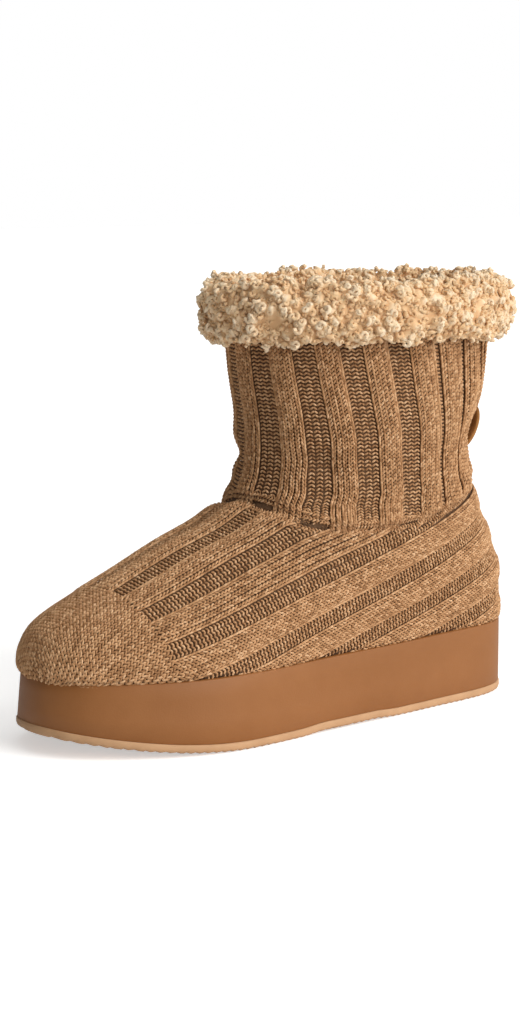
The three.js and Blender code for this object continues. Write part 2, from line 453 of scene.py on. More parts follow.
def trace(cut, side, stretch, straight, past_top=None):
    """Where the wales of one side cross a cut: t, z, and t, z a little way toward the next wale."""
    r, arc = cut["r"], cut["arc"][side]
    top = arc[-1]
    at_ref = np.interp(THIRD_FURROW_AT, r, arc)
    at_ref += max(THIRD_FURROW_AT - r[-1], 0) - max(r[0] - THIRD_FURROW_AT, 0)
    if past_top is not None:
        at_ref = top + past_top
    place = THIRD_FURROW - np.arange(64) * WALE
    s = at_ref + place * np.where(place > 0, stretch, 1.0)
    over = s - np.clip(s, 0, top)
    reach = (1 - straight) * (np.interp(s, arc, r) + over) + straight * (THIRD_FURROW_AT + place)
    at_back = [cut["c"][k] > 0.998 for k in (0, -1)]
    there = (reach > r[0] - (0.0 if at_back[0] else 0.4 * WALE))
    if cut["ridge"]:
        there &= s < top + (0.5 if side > 0 else -0.25) * WALE
    else:
        there &= reach < r[-1] + (0.0 if at_back[1] else 0.7 * WALE)
    s = np.interp(reach, r, arc)
    s = np.clip(s, 0.3, top if cut["ridge"] else top - 0.3)
    columns = [np.interp(s + step, arc, cut[key]) for step in (0.0, -0.5) for key in ("t", "z")]
    return there, np.stack(columns, -1)


def gather(runs, cut, tau, number, *how):
    """Adds the places of one cut to the line of each wale; a line that stops may start again."""
    for side in (1, -1):
        there, found = trace(cut, side, *how)
        for wale in np.flatnonzero(there):
            pieces = runs.setdefault((side, int(wale)), [])
            if not pieces or abs(tau - pieces[-1][-1][0]) > 1.5 * TRACE_STEP:
                pieces.append([])
            pieces[-1].append((tau, number, *found[wale]))


def cuts(step, number):
    """Cuts from the toe cap on, a step apart, each with its tau and the courses passed so far."""
    tau = TOE_CAP_AT + 0.6
    while True:
        cut = cut_across(tau)
        if cut is None or cut["r"][-1] - cut["r"][0] < 1.5:
            return
        yield tau, number, cut
        half = len(cut["r"]) // 2
        n = face_normal(np.array([cut["t"][half]]), np.array([cut["z"][half]]))[0]
        number += TRACE_STEP * (1 / (COURSE * math.sqrt(max(1 - float(n[1:] @ RIB_AHEAD) ** 2, 0.02))))
        tau += step


def distances(line):
    """Distance along a line of points from its first one."""
    return np.concatenate([[0], np.cumsum(np.linalg.norm(np.diff(line, axis=0), axis=1))])


def lay_stitches(runs, forward):
    """Stitches a course apart along the line of every wale, as rows of angles and heights."""
    sites = []
    for (side, wale), pieces in runs.items():
        for piece in pieces:
            line = np.array(piece)
            if len(line) < 3:
                continue
            first, t, z, t_next, z_next = line[0, 1], *line[:, 2:].T
            if t[-1] < 0.45 and t[-2] > t[-1]:
                z_end = z[-1] + (z[-1] - z[-2]) * t[-1] ** 2 / (t[-2] ** 2 - t[-1] ** 2)
                t_next = np.append(t_next, t_next[-1] - t[-1])
                z_next = np.append(z_next, z_next[-1] + z_end - z[-1])
                t, z = np.append(t, 0.0), np.append(z, z_end)
            elif forward < 0:
                t_next, z_next = np.append(t_next, t_next[-1]), np.append(z_next, z_next[-1])
                t, z = np.append(t, t[-1]), np.append(z, min(z[-1], base_height(side * t[-1]) - KNIT_TUCKED))
            theta = side * t
            arc = distances(plain_face(theta, z))
            start = (math.ceil(first) - first) * COURSE
            for at in np.arange(start, arc[-1] - 0.3 * COURSE, COURSE):
                here, back, ahead = [(np.interp(at + d, arc, theta), np.interp(at + d, arc, z))
                                     for d in (0, -0.6 * forward, 0.6 * forward)]
                beside = (side * np.interp(at, arc, t_next), np.interp(at, arc, z_next))
                sites.append((*here, *back, *ahead, *beside, side * wale))
    return np.array(sites)


# Body of the foot: each wale follows its own line, with its stitches a course apart along it. Over
# the instep the lines keep their distance in the knit, and round the heel they run straight.
foot_runs, stretch = {}, 1.0
for tau, number, cut in cuts(TRACE_STEP, 0.0):
    if cut["ridge"]:
        arc = cut["arc"][1]
        stretch = np.clip((arc[-1] - np.interp(THIRD_FURROW_AT, cut["r"], arc)) / THIRD_FURROW, 0.8, 1.25)
    else:
        stretch += (1.0 - stretch) * 0.005
    if number == 0.0:
        cap_stretch = stretch
        past_top = THIRD_FURROW_AT - cut["r"][-1]
    gather(foot_runs, cut, tau, number, stretch, smooth_step((tau - 35) / 45))
foot_sites = lay_stitches(foot_runs, 1)

# Toe: the same wales go on forward, in plain knit, and run down over the toe into the sole.
toe_runs = {}
for tau, number, cut in cuts(-TRACE_STEP, 0.001):
    gather(toe_runs, cut, tau, number, cap_stretch, 0.0, past_top)
toe_sites = lay_stitches(toe_runs, -1)


def stitch_frames(sites, relief, along_rib=False):
    """Place, outward normal, way along the rib and way across it for every stitch."""
    theta, z, *beside = sites[:, :6].T
    normal = face_normal(theta, z)
    place = boot_face(theta, z, relief)
    across = boot_face(*beside[:2], relief) - boot_face(*beside[2:], relief)
    if along_rib:
        across = np.cross(normal, across)
    across -= normal * (across * normal).sum(-1, keepdims=True)
    across /= np.linalg.norm(across, axis=-1, keepdims=True) + 1e-9
    ahead = np.cross(normal, across)
    if not along_rib:
        ahead *= np.where(ahead[:, 1:2] * RIB_AHEAD[0] + ahead[:, 2:3] * RIB_AHEAD[1] < 0, -1.0, 1.0)
    return place, normal, ahead, np.cross(ahead, normal)


def yarn_legs(frames, wide, long, plain, outermost=None, tilt=0.2, plump=0.25):
    """Two legs for each stitch: a V along the rib for plain knit, a low arch across it for purl."""
    place, normal, ahead, across = frames
    legs = []
    for sign in (-1, 1):
        middle = place + across * sign * (wide / 4)[:, None]
        if plain:
            at_edge = (outermost == sign) if outermost is not None else np.zeros(len(wide), bool)
            lean = np.where(at_edge, math.radians(5), np.arcsin(np.clip(0.33 * wide / long, 0.15, 0.5)))
            lean = lean[:, None]
            way = ahead * np.cos(lean) + across * sign * np.sin(lean)
            way += normal * np.where(at_edge, 0.05, tilt)[:, None]
            middle = middle - normal * np.where(at_edge, 0.25, 0.0)[:, None]
            size = np.stack([0.62 + 0 * wide, wide * plump, long * np.where(at_edge, 0.95, 0.76)], -1)
        else:
            lean = np.arctan2(long * 0.6, wide / 2)[:, None]
            way = across * sign * np.cos(lean) - ahead * np.sin(lean) + normal * -0.1
            size = np.stack([0.6 + 0 * wide, long * 0.285, np.hypot(wide / 4, long * 0.3) * 1.2], -1)
        legs.append((middle, way, normal, size))
    return [np.concatenate(parts) for parts in zip(*legs)]


def panel_legs(frames, wales, wide, course, towards_next, plump):
    """The legs of a rib panel, those of its plain ribs and those of its purl furrows."""
    in_rib = (np.abs(wales) + 2) % RIB_REPEAT
    last_or_first = np.where(in_rib == RIB_PLAIN - 1, 1, np.where(in_rib == 0, -1, 0))
    outermost = last_or_first * np.sign((frames[3] * towards_next).sum(-1))
    long = np.full(len(wales), course)
    rib, furrow = in_rib < RIB_PLAIN, in_rib >= RIB_PLAIN
    rib_frames = [part[rib] for part in frames]
    furrow_frames = [part[furrow] for part in frames]
    return (yarn_legs(rib_frames, wide[rib], long[rib], True, outermost[rib], plump=plump),
            yarn_legs(furrow_frames, wide[furrow], long[furrow], False))


# Wool yarn: heathered tan, brown and cream fibre with a soft matt halo. The tone changes from
# leg to leg, drifts slowly over the panel and is flecked with fine fibres.
yarn, tree, where = new_material("heathered_wool_yarn")
tone = add(tree, "Attribute", attribute_name="tone").outputs["Fac"]
fibre = add(tree, "TexNoise", {"Vector": where, "Scale": 900.0, "Detail": 3.0, "Roughness": 0.7})
drift = add(tree, "TexNoise", {"Vector": where, "Scale": 45.0, "Detail": 3.0})
flecks = add(tree, "Math", {0: fibre, 1: 0.6}, operation="MULTIPLY")
sum1 = add(tree, "Math", {0: tone, 1: 0.3, 2: flecks}, operation="MULTIPLY_ADD")
sum2 = add(tree, "Math", {0: drift, 1: 0.12, 2: sum1}, operation="MULTIPLY_ADD")
level_in = add(tree, "MapRange", {"Value": sum2, "From Min": 0.24, "From Max": 0.76})
bump = add(tree, "Bump", {"Height": fibre, "Strength": 0.6, "Distance": 0.0004})
add(tree, "OutputMaterial", {"Surface": add(tree, "BsdfPrincipled", {
    "Base Color": ramp(tree, level_in, [
        (0.0, "#7D5534"), (0.35, "#B08157"), (0.7, "#CC9E72"), (1.0, "#E8C096")]),
    "Normal": bump, "Roughness": 0.9, "Specular IOR Level": 0.25,
    "Sheen Weight": 0.25, "Sheen Roughness": 0.45, "Sheen Tint": linear("#F0D2AC")})})

# Painted shade: the same yarn coloured dark, for the gaps deep between the stitches and the ankle seam.
yarn_painted_shade, tree, where = new_material("wool_yarn_painted_shade")
fibre = add(tree, "TexNoise", {"Vector": where, "Scale": 700.0, "Detail": 3.0})
bump = add(tree, "Bump", {"Height": fibre, "Strength": 0.8, "Distance": 0.0006})
add(tree, "OutputMaterial", {"Surface": add(tree, "BsdfPrincipled", {
    "Base Color": ramp(tree, fibre, [(0.3, "#4C341E"), (0.7, "#6B4C31")]),
    "Normal": bump, "Roughness": 0.95})})


def rule_tree(name, inputs):
    """A Geometry Nodes group with a geometry in, a geometry out and inputs named with their kinds."""
    group = bpy.data.node_groups.new(name, "GeometryNodeTree")
    group.interface.new_socket("Geometry", in_out="OUTPUT", socket_type="NodeSocketGeometry")
    group.interface.new_socket("Geometry", in_out="INPUT", socket_type="NodeSocketGeometry")
    for label, kind in inputs.items():
        group.interface.new_socket(label, in_out="INPUT", socket_type="NodeSocket" + kind)
    return group, add(group, "NodeGroupInput").outputs


def run_rule(name, source, group, values):
    """Runs a tree on an object and keeps the result as a plain mesh object called name."""
    modifier = source.modifiers.new("rule", "NODES")
    modifier.node_group = group
    for item in group.interface.items_tree:
        if item.in_out == "INPUT" and item.name in values:
            modifier[item.identifier] = values[item.name]
    graph = bpy.context.evaluated_depsgraph_get()
    mesh = bpy.data.meshes.new_from_object(source.evaluated_get(graph))
    source.modifiers.remove(modifier)
    bpy.data.objects.remove(source)
    mesh.name = name
    return in_scene(name, mesh)


def read(tree, label, kind="FLOAT"):
    return add(tree, "InputNamedAttribute", {"Name": label}, data_type=kind).outputs["Attribute"]


def finish_copies(tree, given, copies, index, count, local, material):
    """Gives each copy a tone and its own square of the OFBake map, and makes the copies real."""
    tint = add(tree, "RandomValue", {"ID": index, "Seed": given["Seed"]})
    for label, value in (("tone", tint.outputs[1]), ("cell", index)):
        copies = add(tree, "StoreNamedAttribute", {
            "Geometry": copies, "Name": label, "Value": value}, domain="INSTANCE")
    real = add(tree, "RealizeInstances", {"Geometry": copies})
    a_row = float(math.ceil(math.sqrt(count)))
    cell = read(tree, "cell")
    column = add(tree, "Math", {0: cell, 1: a_row}, operation="FLOORED_MODULO")
    line = add(tree, "Math", {0: cell, 1: a_row}, operation="DIVIDE")
    line = add(tree, "Math", {0: line}, operation="FLOOR")
    corner = add(tree, "CombineXYZ", {"X": column, "Y": line})
    inset = add(tree, "VectorMath", {
        0: local, 1: (0.84, 0.84, 0.0), 2: (0.08, 0.08, 0.0)}, operation="MULTIPLY_ADD")
    place = add(tree, "VectorMath", {0: corner, 1: inset})
    shrink = add(tree, "VectorMath", {0: place, "Scale": 1.0 / a_row}, operation="SCALE")
    mapped = add(tree, "StoreNamedAttribute", {
        "Geometry": real, "Name": "OFBake", "Value": shrink}, data_type="FLOAT2", domain="CORNER")
    soft = add(tree, "SetShadeSmooth", {"Geometry": mapped})
    add(tree, "NodeGroupOutput", {"Geometry": add(tree, "SetMaterial", {
        "Geometry": soft, "Material": material})})


def knit(name, legs, material, seed):
    """Lays one yarn leg on every place given; each place holds its way, normal and half sizes."""
    middle, way, normal, size = legs
    mesh = bpy.data.meshes.new(name + "_places")
    mesh.from_pydata((middle * 0.001).tolist(), [], [])
    for label, values in (("way", way), ("out", normal), ("half", size * 0.001)):
        slot = mesh.attributes.new(label, "FLOAT_VECTOR", "POINT")
        slot.data.foreach_set("vector", np.asarray(values, np.float32).ravel())
    source = in_scene(name + "_places", mesh)
    tree, given = rule_tree("yarn_legs_" + name, {
        "Unevenness": "Float", "Seed": "Int", "Yarn": "Material"})
    leg = add(tree, "MeshUVSphere", {"Segments": 5, "Rings": 3})
    leg_map = add(tree, "StoreNamedAttribute", {
        "Geometry": leg, "Name": "leg", "Value": leg.outputs["UV Map"]}, data_type="FLOAT2", domain="CORNER")
    way_of, out_of, half_of, leg_of = (
        read(tree, label, "FLOAT_VECTOR") for label in ("way", "out", "half", "leg"))
    turned = add(tree, "AxesToRotation", {0: way_of, 1: out_of}, primary_axis="Z", secondary_axis="X")
    index = add(tree, "InputIndex")
    low = add(tree, "Math", {0: 1.0, 1: given["Unevenness"]}, operation="SUBTRACT")
    high = add(tree, "Math", {0: 1.0, 1: given["Unevenness"]})
    vary = add(tree, "RandomValue", {2: low, 3: high, "ID": index, "Seed": given["Seed"]})
    scale = add(tree, "VectorMath", {0: half_of, "Scale": vary.outputs[1]}, operation="SCALE")
    placed = add(tree, "InstanceOnPoints", {
        "Points": given["Geometry"], "Instance": leg_map, "Rotation": turned, "Scale": scale})
    finish_copies(tree, given, placed, index, len(middle), leg_of, given["Yarn"])
    piece = run_rule(name, source, tree, {"Unevenness": 0.07, "Seed": seed, "Yarn": material})
    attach(piece, "root")
    return piece


def near_edge(sites):
    """How far the knit is drawn in beside the ankle seam and the sole."""
    theta, z = sites[:, 0], sites[:, 1]
    to_seam = np.clip(np.abs(seam_height(theta) - z) / 3.2, 0, 1)
    to_sole = np.clip((z - base_height(theta)) / 2.8, 0, 1)
    return -0.9 * (1 - to_seam) ** 2 - 1.2 * (1 - to_sole) ** 2


# The ribs flatten toward the back of the heel, where the knit is drawn tight.
theta, z = foot_sites[:, 0], foot_sites[:, 1]
foot_wales = foot_sites[:, 8].astype(int)
relief = RIB_RELIEF[(np.abs(foot_wales) + 2) % RIB_REPEAT]
relief = relief * (1 - 0.65 * np.exp(-(theta / 0.5) ** 2)) + near_edge(foot_sites)
towards_next = plain_face(foot_sites[:, 6], foot_sites[:, 7]) - plain_face(theta, z)
foot_frames = stitch_frames(foot_sites, relief, True)
ribs, furrows = panel_legs(foot_frames, foot_wales, np.full(len(theta), WALE), COURSE, towards_next, 0.25)
foot_ribs = knit("foot_knit_ribs", ribs, yarn, 11)
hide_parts("upper")
knit("foot_knit_furrows", furrows, yarn, 12)

toe_frames = stitch_frames(toe_sites, 0.15 + near_edge(toe_sites), True)
even = np.ones(len(toe_sites))
knit("toe_knit", yarn_legs(toe_frames, WALE * even, COURSE * even, True, tilt=0.15, plump=0.24), yarn, 13)

# A closed sheet under the stitches, coloured with painted shade where the gaps between them show.
shade_sheet_heights = [lambda th, u=u: base_height(th) * (1 - u) + 190 * u for u in np.linspace(0, 1, 56)]
shade_sheet = shell("knit_painted_shade_sheet", shade_sheet_heights, (-1.3, -2.4), yarn_painted_shade, 130)
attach(shade_sheet, "root")

# ------------------------------
# Knit shaft: a second rib panel in the same yarn, seventeen ribs round, with the ribs upright. It
# is stretched wider toward the collar, and its lower edge is sewn to the foot at the ankle.
SHAFT_WALES = 17 * RIB_REPEAT
SHAFT_COURSE = 1.78
SHAFT_KNIT_TOP = 182
RIB_LEAN = 16.0
RIB_TURN = 2.3
FURROW_OPEN = 1.25
FURROW_CLOSED = 0.4

# The furrows lie open over the front and are drawn shut over the back, where the shaft is slack.
shaft_wale = np.arange(SHAFT_WALES)
in_repeat = (shaft_wale + 2) % RIB_REPEAT
from_front = np.minimum(shaft_wale, SHAFT_WALES - shaft_wale) / (SHAFT_WALES / 2)
drawn_shut = smooth_step((from_front - 0.44) / 0.06)
furrow_wide = FURROW_OPEN + (FURROW_CLOSED - FURROW_OPEN) * drawn_shut
rib_wide = (RIB_REPEAT - (RIB_REPEAT - RIB_PLAIN) * furrow_wide) / RIB_PLAIN
slack = 0.13 * (np.exp(-((from_front - 0.38) / 0.075) ** 2) - np.exp(-((from_front - 0.6) / 0.075) ** 2))
share = np.where(in_repeat < RIB_PLAIN, rib_wide, furrow_wide) * (1 + slack)
share /= share.sum()
centre = np.cumsum(share) - share / 2 - share[0] / 2
# Courses are laid from the collar down, each a course lower along the surface of every wale.
shaft_sites = []
theta_fine = np.linspace(-math.pi, math.pi, 1441)
top_arc = distances(plain_face(theta_fine, SHAFT_KNIT_TOP + 0 * theta_fine))
theta = np.interp(centre * top_arc[-1], top_arc, theta_fine)
z = np.full(SHAFT_WALES, float(SHAFT_KNIT_TOP))
sewn_off = np.zeros(SHAFT_WALES, bool)
while not sewn_off.all():
    arc = distances(plain_face(theta_fine, np.interp(theta_fine, np.sort(theta), z[np.argsort(theta)])))
    theta = np.interp(centre * arc[-1], arc, theta_fine)
    s = (centre * arc[-1] + RIB_TURN - RIB_LEAN * np.sin(theta) * (180 - z) / 75) % arc[-1]
    theta = np.interp(s, arc, theta_fine)
    before, after = np.interp(s - 0.5, arc, theta_fine), np.interp(s + 0.5, arc, theta_fine)
    low = seam_height(theta) - 0.1
    rise = np.linalg.norm(plain_face(theta, z + 0.5) - plain_face(theta, z - 0.5), axis=-1)
    for i in np.flatnonzero(~sewn_off):
        row = max(z[i], low[i])
        shaft_sites.append((theta[i], row, after[i], row, before[i], row, i, share[i] * arc[-1]))
    sewn_off |= z <= low + 0.3 * SHAFT_COURSE / rise
    z = np.where(sewn_off, low, z - SHAFT_COURSE / rise)

shaft_sites = np.array(shaft_sites)
shaft_wales = shaft_sites[:, 6].astype(int)
in_repeat = (shaft_wales + 2) % RIB_REPEAT
relief = RIB_RELIEF[in_repeat] - 0.6 * drawn_shut[shaft_wales] * (in_repeat >= RIB_PLAIN)
relief += 0.35 * near_edge(shaft_sites)
towards_next = plain_face(*shaft_sites[:, 2:4].T) - plain_face(*shaft_sites[:, 4:6].T)
ribs, furrows = panel_legs(
    stitch_frames(shaft_sites, relief), shaft_wales, shaft_sites[:, 7], SHAFT_COURSE, towards_next, 0.265)
shaft_ribs = knit("shaft_knit_ribs", ribs, yarn, 21)
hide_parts("shaft")
knit("shaft_knit_furrows", furrows, yarn, 22)

# ------------------------------
# Joining seams: one row of linking stitches, sunk between the edge stitches of both panels and coloured
# with painted shade, holds the shaft to the foot, and one in the plain yarn holds the foot panel's ends down
# the heel.
LINK_PITCH = 1.7


def link_stitches(theta, z, relief):
    """Slanting legs at even steps along a line on the boot."""
    line = boot_face(theta, z, relief)
    arc = distances(line)
    steps = np.arange(0.5 * LINK_PITCH, arc[-1], LINK_PITCH)

    def at(where):
        return np.stack([np.interp(where, arc, line[:, k]) for k in range(3)], -1)

    ahead = at(steps + 0.5) - at(steps - 0.5)
    ahead /= np.linalg.norm(ahead, axis=-1, keepdims=True)
    normal = face_normal(np.interp(steps, arc, theta), np.interp(steps, arc, z))
    across = np.cross(normal, ahead)
    legs = []
    for sign in (-1, 1):
        way = ahead * 0.75 + across * 0.66 * sign
        size = np.tile((0.5, 0.5, 1.15), (len(steps), 1))
        legs.append((at(steps) + across * 0.45 * sign, way, normal, size))
    return [np.concatenate(parts) for parts in zip(*legs)]


round_it = np.linspace(-math.pi, math.pi, 1200)
# The ankle row's dark colour is painted shade, the dark of the crease at the seam.
knit("ankle_linking_seam", link_stitches(round_it, seam_height(round_it) + 0.1, -0.7), yarn_painted_shade, 25)
edge_rows = [link_stitches(round_it, seam_height(round_it) + up, -0.75) for up in (-1.5, 1.6, 2.9)]
knit("ankle_edge_stitches", [np.concatenate(parts) for parts in zip(*edge_rows)], yarn, 27)
up_heel = np.linspace(36.0, seam_height(0.0), 400)
knit("heel_linking_seam", link_stitches(0 * up_heel, up_heel, 0.1), yarn, 26)

# ------------------------------
# Collar: a cuff of curly shearling with the wool outwards, folded over the top of the shaft and
# sewn inside it. The wool stands in tufts a few millimetres wide, and small tight curls cover
# the tufts and hang over the lower edge.
COLLAR_SECTION = np.array([
    (0.6, 180), (2.5, 175.6), (6.5, 174.6), (10.5, 177), (13.2, 183), (13.6, 189), (12, 197), (8, 203),
    (2.5, 205.6), (-3, 204.6), (-7, 200), (-8.5, 192), (-8.7, 182), (-8.2, 173.5), (-4.0, 172.5)], float)
COLLAR_HOOK = np.array([(-3.2, 184), (-3.0, 195.6), (0.2, 195.6), (0.4, 186)], float)
PILE_DEEP = 2.9
PILE_STEP = 1.25
COLLAR_AROUND = 340
CURLS_A_ROW = 76

length = distances(COLLAR_SECTION)
steps = np.linspace(0, length[-1], int(length[-1] / PILE_STEP))
section = np.stack([np.interp(steps, length, COLLAR_SECTION[:, k]) for k in (0, 1)], -1)
for _ in range(4):
    section[1:-1] = (section[:-2] + 2 * section[1:-1] + section[2:]) / 4
wool_side = len(section)
section = np.concatenate([section, COLLAR_HOOK])
theta = np.arange(COLLAR_AROUND) / COLLAR_AROUND * 2 * math.pi
rings = [plain_face(theta, z, out) for out, z in section]

# Shearling wool: cream to warm tan, lighter on the raised tops of the tufts and darker down in the pile
# between them, which is painted light and shade; matt with a soft sheen; the tone also changes from curl to
# curl and in patches.
curly_wool, tree, where = new_material("shearling_wool_curls")
tone = add(tree, "Attribute", attribute_name="tone").outputs["Fac"]
# How far each place is raised: the higher, the lighter, painted light on the tufts and painted shade in the
# hollows.
raised = add(tree, "Attribute", attribute_name="raised").outputs["Fac"]
strands = add(tree, "TexNoise", {"Vector": where, "Scale": 1400.0})
patch = add(tree, "TexNoise", {"Vector": where, "Scale": 60.0})
sum1 = add(tree, "Math", {0: tone, 1: 0.14, 2: raised}, operation="MULTIPLY_ADD")
sum2 = add(tree, "Math", {0: patch, 1: 0.5, 2: sum1}, operation="MULTIPLY_ADD")
spread = add(tree, "MapRange", {"Value": sum2, "From Min": 0.1, "From Max": 1.35})
bump = add(tree, "Bump", {"Height": strands, "Strength": 0.35, "Distance": 0.0003})
add(tree, "OutputMaterial", {"Surface": add(tree, "BsdfPrincipled", {
    "Base Color": ramp(tree, spread, [(0.0, "#D6AB7D"), (0.5, "#E9C599"), (1.0, "#F6DFC0")]),
    "Normal": bump, "Roughness": 0.9, "Specular IOR Level": 0.25,
    "Subsurface Weight": 0.35, "Subsurface Radius": (1.0, 1.0, 1.0), "Subsurface Scale": 0.0012,
    "Sheen Weight": 0.5, "Sheen Roughness": 0.5, "Sheen Tint": linear("#F3DCBB")})})


def tufted(name, source, material, seed):
    """Raises a skin into tufts, each a rounded heap, and keeps how far each place is raised."""
    tree, given = rule_tree("tufts_" + name, {
        "Tuft width": "Float", "Tuft height": "Float", "Pile depth": "Float", "Clump height": "Float",
        "Seed": "Int", "Wool": "Material"})
    place = add(tree, "InputPosition")
    per_metre = add(tree, "Math", {0: 1.0, 1: given["Tuft width"]}, operation="DIVIDE")
    bend = add(tree, "TexNoise", {"Vector": place, "Scale": 120.0})
    shift = add(tree, "VectorMath", {
        0: bend.outputs["Color"], 1: (0.006, 0.006, 0.006), 2: place}, operation="MULTIPLY_ADD")
    seeded = add(tree, "CombineXYZ", {"X": given["Seed"]})
    moved = add(tree, "VectorMath", {0: shift, 1: seeded})
    cells = add(tree, "TexVoronoi", {"Vector": moved, "Scale": per_metre})
    heap = add(tree, "MapRange", {
        "Value": cells, "From Min": 0.12, "From Max": 0.72, "To Min": 1.0, "To Max": 0.0},
        interpolation_type="SMOOTHSTEP")
    # How far each place is raised, kept for the wool's painted light and shade.
    kept = add(tree, "StoreNamedAttribute", {
        "Geometry": given["Geometry"], "Name": "raised", "Value": heap})
    clump = add(tree, "TexNoise", {"Vector": moved, "Scale": 75.0, "Detail": 1.0})
    swell = add(tree, "MapRange", {
        "Value": clump, "From Min": 0.35, "From Max": 0.65, "To Min": -1.0, "To Max": 1.0})
    clumps = add(tree, "Math", {0: swell, 1: given["Clump height"]}, operation="MULTIPLY")
    lift = add(tree, "Math", {0: heap, 1: given["Tuft height"], 2: clumps}, operation="MULTIPLY_ADD")
    level_of = add(tree, "Math", {0: lift, 1: given["Pile depth"]}, operation="SUBTRACT")
    only = add(tree, "Math", {0: level_of, 1: read(tree, "pile")}, operation="MULTIPLY")
    move = add(tree, "VectorMath", {0: add(tree, "InputNormal"), "Scale": only}, operation="SCALE")
    raised_skin = add(tree, "SetPosition", {"Geometry": kept, "Offset": move})
    real = add(tree, "RealizeInstances", {"Geometry": raised_skin})
    done = add(tree, "SetMaterial", {"Geometry": real, "Material": given["Wool"]})
    add(tree, "NodeGroupOutput", {"Geometry": done})
    return run_rule(name, source, tree, {
        "Tuft width": 0.0052, "Tuft height": 0.0032, "Pile depth": PILE_DEEP * 0.001, "Clump height": 0.0014,
        "Seed": seed, "Wool": material})


def curled(name, skin, zone, spacing, material, seed):
    """Scatters curls over one zone of a tufted skin: flat snail curls and short corkscrews."""
    source = in_scene(name + "_skin", skin.data.copy())
    tree, given = rule_tree("curls_" + name, {
        "Curl spacing": "Float", "Curls a square metre": "Float", "Strand radius": "Float",
        "Curl radius": "Float", "Sunk": "Float", "Seed": "Int", "Wool": "Material"})
    strand = add(tree, "CurvePrimitiveCircle", {"Resolution": 4, "Radius": given["Strand radius"]})
    along_curve = add(tree, "SplineParameter")
    around = add(tree, "StoreNamedAttribute", {
        "Geometry": strand, "Name": "strand_v", "Value": along_curve})
    choice = tree.nodes.new("GeometryNodeGeometryToInstance")
    for turns, first, last, rise, points in ((1.1, 0.95, 0.35, 0.6, 9), (0.9, 0.5, 0.85, 1.3, 8)):
        sizes = [add(tree, "Math", {0: given["Curl radius"], 1: k}, operation="MULTIPLY")
                 for k in (first, last, rise)]
        spiral = add(tree, "CurveSpiral", {
            "Resolution": points, "Rotations": turns, "Start Radius": sizes[0], "End Radius": sizes[1],
            "Height": sizes[2]})
        ahead = add(tree, "StoreNamedAttribute", {
            "Geometry": spiral, "Name": "strand_u", "Value": along_curve})
        half_turn = add(tree, "Math", {0: along_curve, 1: math.pi}, operation="MULTIPLY")
        swell = add(tree, "Math", {0: half_turn}, operation="SINE")
        width = add(tree, "Math", {0: swell, 1: 0.65, 2: 0.45}, operation="MULTIPLY_ADD")
        swollen = add(tree, "SetCurveRadius", {"Curve": ahead, "Radius": width})
        curl = add(tree, "CurveToMesh", {"Curve": swollen, "Profile Curve": around, "Fill Caps": True})
        tree.links.new(curl.outputs[0], choice.inputs[0])
    points = add(tree, "DistributePointsOnFaces", {
        "Mesh": given["Geometry"], "Distance Min": given["Curl spacing"],
        "Density Max": given["Curls a square metre"], "Density Factor": read(tree, zone),
        "Seed": given["Seed"]}, distribute_method="POISSON")
    index = add(tree, "InputIndex")
    turn = add(tree, "RandomValue", {
        0: (-0.55, -0.55, 0.0), 1: (0.55, 0.55, 6.2832), "ID": index, "Seed": given["Seed"]},
        data_type="FLOAT_VECTOR")
    as_turn = add(tree, "EulerToRotation", {0: turn})
    turned = add(tree, "RotateRotation", {
        0: points.outputs["Rotation"], 1: as_turn}, rotation_space="LOCAL")
    vary = add(tree, "RandomValue", {2: 0.75, 3: 1.3, "ID": index, "Seed": given["Seed"]})
    which = add(tree, "RandomValue", {4: 0, 5: 1, "ID": index, "Seed": given["Seed"]}, data_type="INT")
    inward = add(tree, "VectorMath", {
        0: points.outputs["Normal"], "Scale": given["Sunk"]}, operation="SCALE")
    sunk = add(tree, "SetPosition", {"Geometry": points, "Offset": inward})
    placed = add(tree, "InstanceOnPoints", {
        "Points": sunk, "Instance": choice, "Pick Instance": True,
        "Instance Index": which.outputs[2], "Rotation": turned, "Scale": vary.outputs[1]})
    local = add(tree, "CombineXYZ", {"X": read(tree, "strand_u"), "Y": read(tree, "strand_v")})
    finish_copies(tree, given, placed, index, CURLS_A_ROW ** 2, local, given["Wool"])
    piece = run_rule(name, source, tree, {
        "Curl spacing": spacing, "Curls a square metre": 0.75 / spacing ** 2, "Strand radius": 0.00085,
        "Curl radius": 0.0014, "Sunk": -0.0004, "Seed": seed, "Wool": material})
    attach(piece, "root")


faces = stack_faces(len(rings), COLLAR_AROUND, True)
skin_places = as_object("collar_skin", np.concatenate(rings), faces, curly_wool)
ring_number = np.repeat(np.arange(len(rings)), COLLAR_AROUND)
top_of_fold = ring_number < wool_side * 0.62
for label, values in (
        ("pile", np.where(ring_number < wool_side, 1.0, 0.0)),
        ("outside", np.where(top_of_fold & (ring_number < wool_side), 1.0, 0.0)),
        ("inside", np.where(~top_of_fold & (ring_number < wool_side - 1), 1.0, 0.0))):
    slot = skin_places.data.attributes.new(label, "FLOAT", "POINT")
    slot.data.foreach_set("value", values.astype(np.float32))
collar = tufted("collar_shearling", skin_places, curly_wool, 3)
curled("collar_curls_outside", collar, "outside", 0.0019, curly_wool, 31)
curled("collar_curls_inside", collar, "inside", 0.0023, curly_wool, 32)
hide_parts("collar")
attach(collar, "root")

# ------------------------------
# Pull loop: a short strap of suede at the back of the shaft, bent into a C. Its two ends go in
# between the stitches of the knit and are sewn down inside.
LOOP_WIDTH = 13
LOOP_LOW = 118
LOOP_HIGH = 141
LOOP_REACH = 10.5
LOOP_THICK = 2.2
LOOP_DROOP = 2.0

